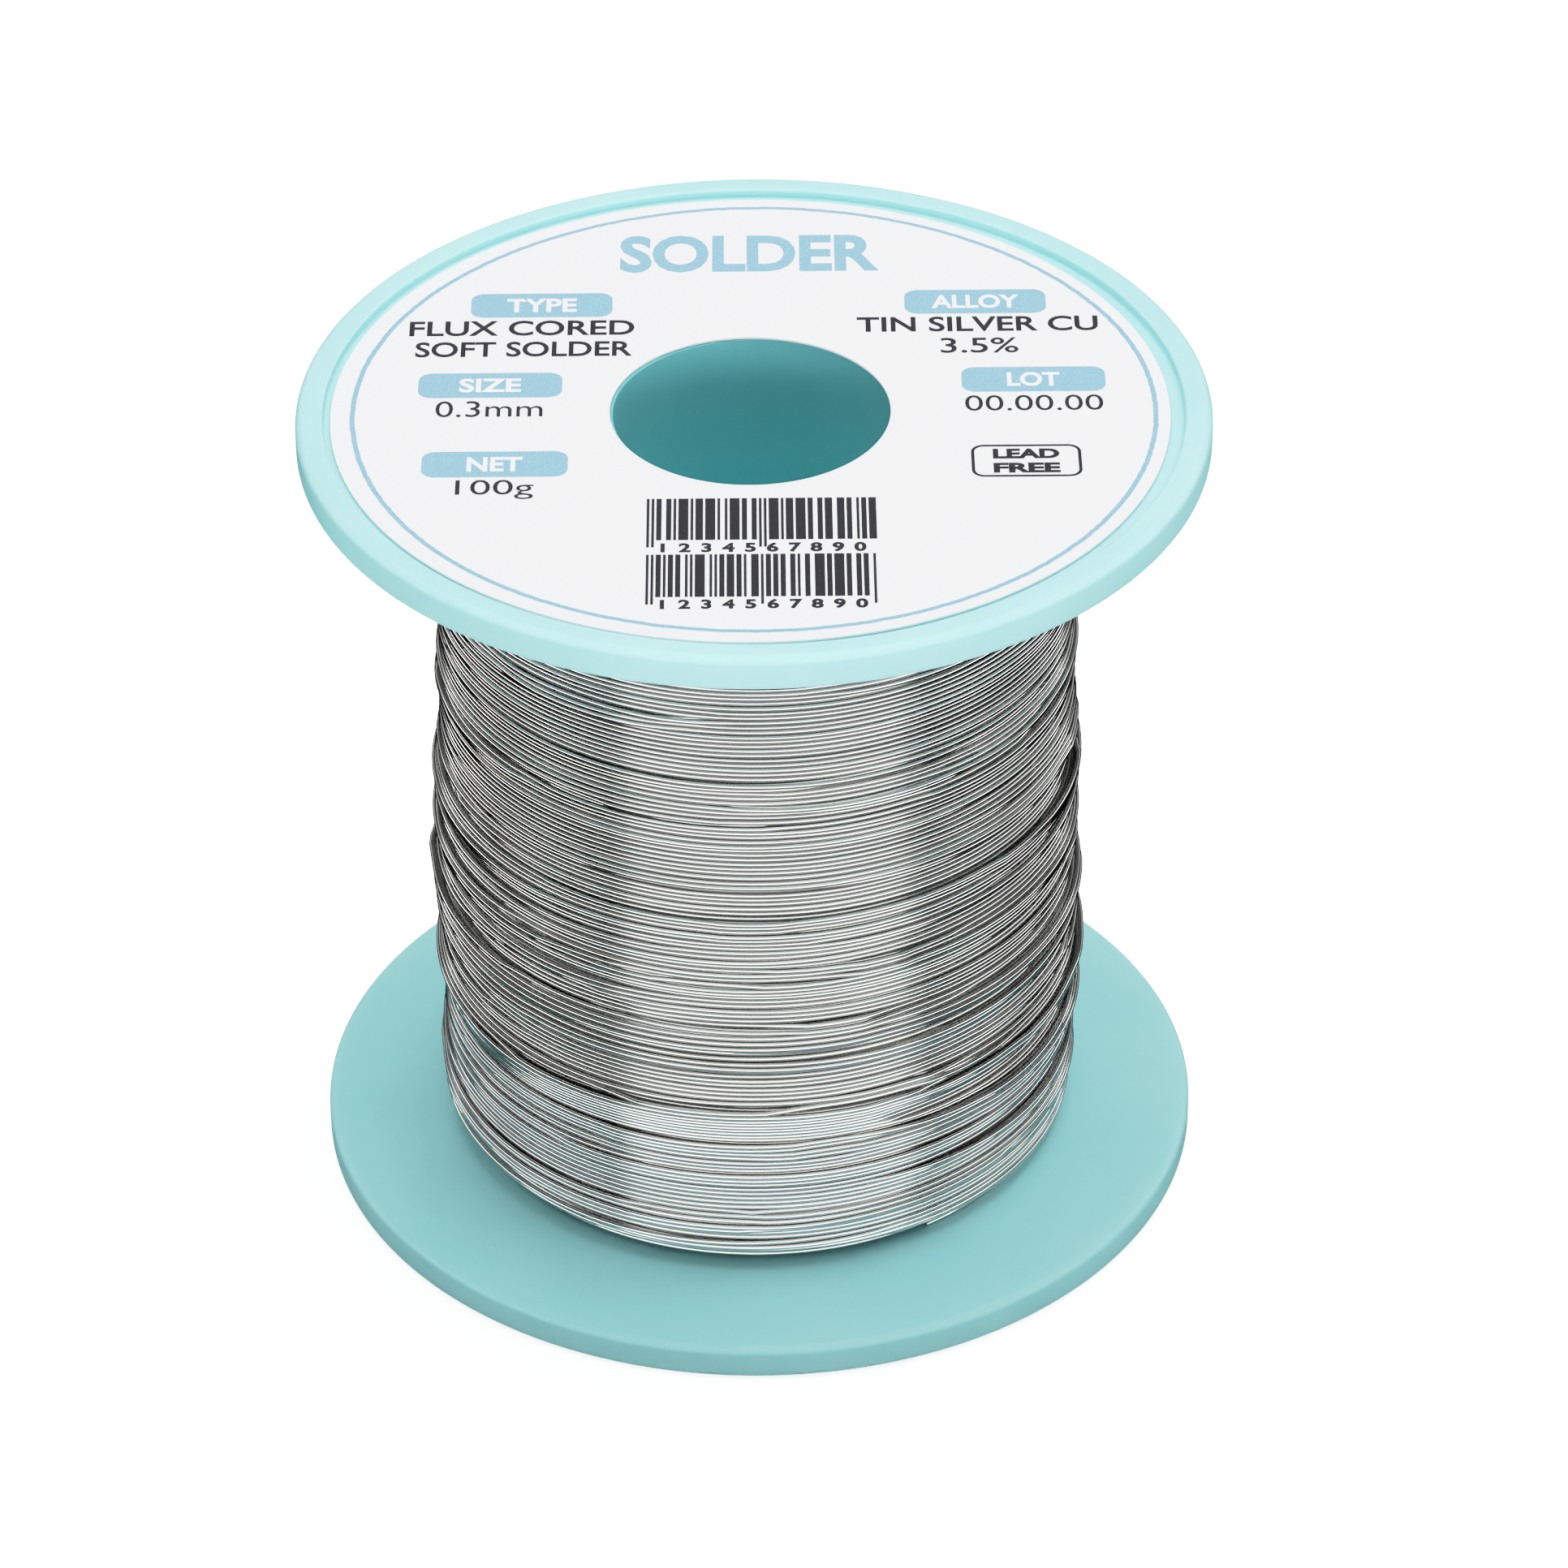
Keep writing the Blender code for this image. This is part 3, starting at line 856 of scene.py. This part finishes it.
INK_SPREAD = 0.15
RING_OUTER = 22.03
RING_INNER = 21.75
RING_STEPS = 420
PILL_SIZE = (7.9, 2.58, 0.75)
CAPITALS = 1.62
# Each word on a pill: the word, the pill's centre and the word's width, in millimetres
PILLS = (("TYPE", -11.8, 11.25, 3.9), ("SIZE", -14.45, 2.74, 3.4), ("NET", -14.0, -5.4, 3.0),
         ("ALLOY", 12.4, 11.32, 4.9), ("LOT", 15.35, 2.97, 2.9))
# Each black line: its words, centre, width, capital height and boldness
LINES = (("FLUX CORED", -12.85, 8.8, 12.5, CAPITALS, 0.02),
         ("SOFT SOLDER", -12.7, 6.55, 12.0, CAPITALS, 0.02),
         ("0.3mm", -14.45, 0.28, 5.85, 1.66, 0.0),
         ("100g", -13.95, -7.95, 4.2, 1.95, 0.0),
         ("TIN SILVER CU", 12.45, 8.9, 13.4, CAPITALS, 0.02),
         ("3.5%", 12.5, 6.6, 4.3, CAPITALS, 0.01),
         ("00.00.00", 15.3, 0.5, 7.55, CAPITALS, 0.0))


def bars(printer, rng, left, right, top, bottom, guard):
    """A made-up bar pattern with longer guard bars at its ends and middle."""
    modules = 95
    unit = (right - left) / modules
    place = 0
    while place < modules:
        is_guard = place < 3 or place >= modules - 3 or 46 <= place <= 48
        width = 1 if is_guard else int(rng.choice((1, 2, 2, 3, 4)))
        width = min(width, modules - place)
        low = guard if is_guard else bottom
        middle = left + (place + width / 2) * unit
        printer.rectangle(middle, (top + low) / 2, (width + INK_SPREAD) * unit, top - low)
        place += width + (1 if is_guard else int(rng.choice((1, 1, 2))))


def ring(printer, rng):
    """The thin ring round the label's edge, a little ragged as print is."""
    turn = np.linspace(0, 2 * math.pi, RING_STEPS, endpoint=False)
    wobble = np.round(0.9 * np.sin(5 * turn + 0.6) + rng.uniform(-0.5, 0.5, RING_STEPS)) * 0.03
    outlines = []
    for radius in (RING_OUTER, RING_INNER):
        outlines.append([((radius + w) * math.cos(a), (radius + w) * math.sin(a))
                         for a, w in zip(turn, wobble)])
    printer.band(*outlines)


def build_print():
    """Generic words and sizes in the places where such a label carries its data."""
    rng = np.random.default_rng(SEED + 1)
    blue, black, white = Print(0), Print(0), Print(1)
    ring(blue, rng)
    blue.text("SOLDER", -0.2, 16.8, 14.6, 4.1, 0.035)
    for word, x, y, width in PILLS:
        blue.pill(x, y, *PILL_SIZE)
        white.text(word, x, y, width, 1.45, 0.03)
    for line in LINES:
        black.text(*line)
    black.frame(14.67, -5.43, 5.95, 3.25, 0.7, 0.18)
    black.text("LEAD", 14.67, -4.72, 3.6, 1.0, 0.05)
    black.text("FREE", 14.67, -6.15, 3.6, 1.0, 0.05)
    bars(black, rng, -5.75, 6.6, -9.0, -13.1, -13.8)
    bars(black, rng, -5.75, 6.5, -14.5, -18.6, -19.3)
    for low in (-13.85, -19.3):
        black.text("1234567890", 0.45, low, 10.9, 0.95, 0.045, 1.9)
    blue.build("label_print_blue", BLUE_INK)
    black.build("label_print_black", BLACK_INK)
    white.build("label_print_white", WHITE_INK)


# ---------------------------------------------------------------- stage, light and camera

def area_light(name, place, target, width, height, radiance):
    """A rectangular softbox with a given brightness, aimed at a point and unseen in reflections."""
    light = bpy.data.lights.new(name, "AREA")
    light.shape = "RECTANGLE"
    light.size, light.size_y = width, height
    light.energy = radiance * math.pi * width * height
    obj = bpy.data.objects.new(name, light)
    bpy.context.scene.collection.objects.link(obj)
    obj.location = place
    obj.rotation_euler = (Vector(target) - Vector(place)).to_track_quat("-Z", "Y").to_euler()
    obj.visible_camera = False
    obj.visible_glossy = False
    return obj


MIDDLE = (0, 0, HEIGHT / 2)
# Softboxes that light plastic and paper: name, place, target, width, height and brightness
SOFTBOXES = (("front_softbox", (0, -0.85, 0.46), (0, 0, 0.20), 2.2, 1.05, 0.34),
             ("overhead_softbox", (0.02, 0.07, 0.60), MIDDLE, 0.50, 0.50, 5.1),
             ("near_key", (0.04, -0.08, 0.24), MIDDLE, 0.30, 0.12, 0.3),
             ("left_softbox", (-0.40, 0.0, 0.54), MIDDLE, 0.50, 0.50, 0.9),
             ("right_softbox", (0.40, 0.0, 0.54), MIDDLE, 0.50, 0.50, 1.4),
             ("back_softbox", (0, 0.50, 0.42), MIDDLE, 0.50, 0.50, 0.5))
RIM_FILL = ("rim_fill", (0, -0.115, 0.056), (0, 0, 0.052), 0.46, 0.03, 1.1)
RIM_FILL_SPREAD = math.radians(45.0)

# The surround that only reflected rays see. The card in front lies between two bearings.
FRONT_LEFT, FRONT_RIGHT = math.radians(-47.3), math.radians(55.5)
BELT_GLOW = 3.2
# Bands above the floor, as (elevation it starts at, brightness), from below upwards
FRONT_BANDS = ((-8, BELT_GLOW), (39, 1.15))
SIDE_BANDS = ((8, 2.2 * BELT_GLOW), (21, 0.01), (50, 0.04))
BACK_BANDS = ((3, 0.7), (28, 0.08))
# The side belt is dimmer by this share where it faces squarely sideways
SIDE_DIP = 0.35
# The floor's glow in reflections, by the sector it lies in and its distance from the reel
SIDE_FLOOR_GLOW = 0.005
NEAR_FLOOR_GLOW = 0.34
FAR_FLOOR_GLOW = 0.12
FAR_FLOOR = 85 * MM
CARD_START = 105 * MM
# The floor as the camera and as soft light see it, and how far it lies under the reel
FLOOR_GREY = 0.88
FLOOR_BOUNCE = 0.8
FLOOR_GLOW = 1.2
FLOOR_HALF = 3.0
FLOOR_GAP = 0.00002


def by_elevation(n, elevation, glow, bands):
    """Brightness that changes from band to band with a soft edge."""
    soft = math.radians(2.0)
    for start, brightness in bands:
        edge = math.radians(start)
        glow = n.blend(n.step(elevation, edge - soft, edge + soft), glow, brightness)
    return glow


def studio_in_mirror(n, direction, floor_glow):
    """How bright the surround is in a direction, for reflected rays only.

    In front is a broad bright card with a paler sky above it. At the sides is a narrow belt of
    light, dark above and below, and behind is a dim wall.
    """
    x, y, z = n.add("ShaderNodeSeparateXYZ", Vector=direction).outputs
    elevation = n.math("ARCSINE", z)
    bearing = n.math("ARCTAN2", x, n.math("MULTIPLY", y, -1.0))
    soft = 0.012
    in_front = n.math("MULTIPLY", n.step(bearing, FRONT_LEFT - soft, FRONT_LEFT + soft),
                      n.step(bearing, FRONT_RIGHT + soft, FRONT_RIGHT - soft))
    turned_away = n.math("ABSOLUTE", bearing)
    dip = n.math("MULTIPLY", n.step(turned_away, math.radians(75), math.radians(95), 0.0, SIDE_DIP),
                 n.step(turned_away, math.radians(135), math.radians(120)))
    side = by_elevation(n, elevation, SIDE_FLOOR_GLOW, SIDE_BANDS)
    side = n.math("MULTIPLY", side, n.math("SUBTRACT", 1.0, dip))
    behind = by_elevation(n, elevation, SIDE_FLOOR_GLOW, BACK_BANDS)
    around = n.blend(n.step(y, 0.55, 0.70), side, behind)
    return n.blend(in_front, around, by_elevation(n, elevation, floor_glow, FRONT_BANDS))


def floor_in_mirror(n, radius):
    """The floor's glow in reflections: dim near the reel, then the surround's own brightness."""
    incoming = n.add("ShaderNodeNewGeometry").outputs["Incoming"]
    onward = n.add("ShaderNodeVectorMath", {"operation": "SCALE"}, Vector=incoming, Scale=-1.0)
    card = n.step(radius, CARD_START * 0.9, CARD_START * 1.1, NEAR_FLOOR_GLOW, BELT_GLOW)
    floor_glow = n.step(radius, FAR_FLOOR * 0.8, FAR_FLOOR * 1.2, NEAR_FLOOR_GLOW, FAR_FLOOR_GLOW)
    return n.math("MINIMUM", card, studio_in_mirror(n, onward.outputs[0], floor_glow))


def floor_material():
    """Pale and bright to the camera, a soft bounce to diffuse light, and a glow in reflections.

    Under the bore it bounces no light: painted shade that keeps the bore dark.
    """
    material = bpy.data.materials.new("floor")
    n = Nodes(material)
    path = n.add("ShaderNodeLightPath")
    x, y, _ = n.add("ShaderNodeSeparateXYZ", Vector=n.position()).outputs
    radius = n.distance(x, y)
    # Painted shade: to bounced light the floor under the bore is near black, which darkens the bore
    under_bore = n.math("MULTIPLY", n.math("LESS_THAN", radius, BORE), path.outputs["Is Diffuse Ray"])
    pale = n.mix(path.outputs["Is Diffuse Ray"], grey(FLOOR_GREY), grey(FLOOR_BOUNCE))
    diffuse = n.add("ShaderNodeBsdfDiffuse", Color=n.mix(under_bore, pale, grey(0.02)))
    white = n.add("ShaderNodeEmission", Color=grey(1.0), Strength=FLOOR_GLOW)
    bright = n.add("ShaderNodeAddShader")
    n.tree.links.new(diffuse.outputs[0], bright.inputs[0])
    n.tree.links.new(white.outputs[0], bright.inputs[1])
    seen = n.add("ShaderNodeMixShader", Fac=path.outputs["Is Camera Ray"])
    n.tree.links.new(diffuse.outputs[0], seen.inputs[1])
    n.tree.links.new(bright.outputs[0], seen.inputs[2])
    mirrored = n.add("ShaderNodeEmission", Color=grey(1.0), Strength=floor_in_mirror(n, radius))
    choice = n.add("ShaderNodeMixShader", Fac=path.outputs["Is Glossy Ray"])
    n.tree.links.new(seen.outputs[0], choice.inputs[1])
    n.tree.links.new(mirrored.outputs[0], choice.inputs[2])
    n.surface(choice.outputs[0])
    return material


def build_stage():
    """A plain pale floor just under the reel."""
    half = FLOOR_HALF
    corners = [(-half, -half, 0), (half, -half, 0), (half, half, 0), (-half, half, 0)]
    mesh = bpy.data.meshes.new("floor")
    mesh.from_pydata(corners, [], [(0, 1, 2, 3)])
    mesh.materials.append(floor_material())
    floor = bpy.data.objects.new("floor", mesh)
    bpy.context.scene.collection.objects.link(floor)
    floor.location = (0, 0, lower_low.z - FLOOR_GAP)


def build_light():
    """The softboxes, a narrow fill for the upper rim's side, and the surround."""
    area_light(*RIM_FILL).data.spread = RIM_FILL_SPREAD
    for softbox in SOFTBOXES:
        area_light(*softbox)
    build_world()


def build_world():
    """White to the camera, dim to diffuse light, and the painted surround in reflections."""
    world = bpy.data.worlds.new("studio")
    bpy.context.scene.world = world
    n = Nodes(world)
    path = n.add("ShaderNodeLightPath")
    direction = n.add("ShaderNodeTexCoord").outputs["Generated"]
    mirrored = studio_in_mirror(n, direction, FAR_FLOOR_GLOW)
    strength = n.math("MULTIPLY", path.outputs["Is Camera Ray"], 2.8)
    strength = n.math("ADD", strength, n.math("MULTIPLY", path.outputs["Is Diffuse Ray"], 0.12))
    strength = n.math("ADD", strength, n.math("MULTIPLY", path.outputs["Is Glossy Ray"], mirrored))
    background = n.add("ShaderNodeBackground", Color=grey(1.0), Strength=strength)
    out = n.add("ShaderNodeOutputWorld")
    n.tree.links.new(background.outputs[0], out.inputs["Surface"])


TONE_WHITE = 2.2
# Points of the camera's response, as (scene brightness, shown brightness)
TONE_POINTS = ((0.60, 0.60), (1.25, 0.863), (1.45, 0.91), (2.0, 1.0))


def set_exposure():
    """A camera response that holds back the highlights, as a picture of a white label needs."""
    settings = bpy.context.scene.view_settings
    settings.view_transform = "Standard"
    settings.use_curve_mapping = True
    mapping = settings.curve_mapping
    mapping.white_level = (TONE_WHITE, TONE_WHITE, TONE_WHITE)
    curve = mapping.curves[3]
    curve.points[1].location = (1.0, 1.0)
    for scene_value, shown in TONE_POINTS:
        curve.points.new(scene_value / TONE_WHITE, shown)
    for point in curve.points:
        point.handle_type = "VECTOR"
    mapping.update()


CAMERA_ELEVATION = math.radians(34.62)
CAMERA_ROLL = math.radians(-0.45)
CAMERA_DISTANCE = 0.3889
CAMERA_LENS = 158.1
CAMERA_SHIFT = (0.0174, -0.0109)


def build_camera():
    """Looks down on the front of the spool at the same angle and field as a catalogue picture."""
    camera = bpy.data.cameras.new("camera")
    camera.sensor_width = 36.0
    camera.lens = CAMERA_LENS
    camera.shift_x, camera.shift_y = CAMERA_SHIFT
    camera.clip_start, camera.clip_end = 0.01, 10.0
    obj = bpy.data.objects.new("camera", camera)
    bpy.context.scene.collection.objects.link(obj)
    back = Vector((0, -math.cos(CAMERA_ELEVATION), math.sin(CAMERA_ELEVATION)))
    aim = (-back).to_track_quat("-Z", "Y")
    obj.location = Vector((0, 0, HEIGHT / 2)) + back * CAMERA_DISTANCE
    obj.rotation_mode = "QUATERNION"
    obj.rotation_quaternion = aim @ Matrix.Rotation(CAMERA_ROLL, 4, "Z").to_quaternion()
    bpy.context.scene.camera = obj


# ---------------------------------------------------------------- build it all

build_flange("upper_flange_fine", "upper_flange", False)
build_flange("lower_flange_fine", "lower_flange", True)
build_tube()
build_label_disc("upper_label_paper", "upper_label", label_low, label_high, True)
build_label_disc("lower_label_paper", "lower_label", under_low, under_high, False)
build_print()
build_wire()
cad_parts["winding_barrel"].material_slots[0].material = PLASTIC
for node in ("wire_inner_layers", "wire_start_tail"):
    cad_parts[node].material_slots[0].material = SOLDER
build_stage()
build_light()
build_camera()
set_exposure()
